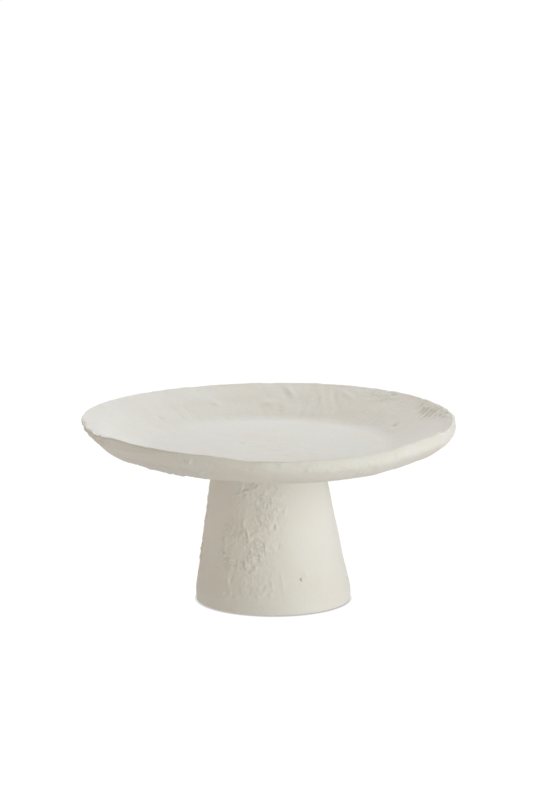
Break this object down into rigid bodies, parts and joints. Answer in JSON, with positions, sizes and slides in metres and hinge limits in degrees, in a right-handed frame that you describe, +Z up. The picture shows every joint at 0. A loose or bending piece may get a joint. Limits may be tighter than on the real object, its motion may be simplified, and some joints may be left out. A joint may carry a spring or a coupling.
{
  "type": "cake stand",
  "caption": "Round pedestal cake stand: a wide shallow dish with a raised, softly wavy rim on a hollow, flared foot, both moulded in matte off-white papier-mache.",
  "frame": {"origin": "on the table, under the middle of the dish", "axes": "+Z up out of the dish, -Y towards the front, +X to the right as seen from the front"},
  "size_m": [0.2991, 0.2986, 0.1504],
  "materials": {
    "papier_mache_dish": "matte, wrinkled and pitted pulp",
    "papier_mache_pedestal": "matte, wrinkled and pitted pulp",
    "plywood": "sawn, unfinished",
    "dried_glue": "dried white glue",
    "felt": "pressed felt"
  },
  "bodies": {
    "root": {"dish": "papier_mache_dish", "pedestal": "papier_mache_pedestal", "locating_disc": "plywood", "glue_ring": "dried_glue", "felt_pad_back_right": "felt", "felt_pad_back_left": "felt", "felt_pad_front_left": "felt", "felt_pad_front_right": "felt"}
  },
  "joints": []
}
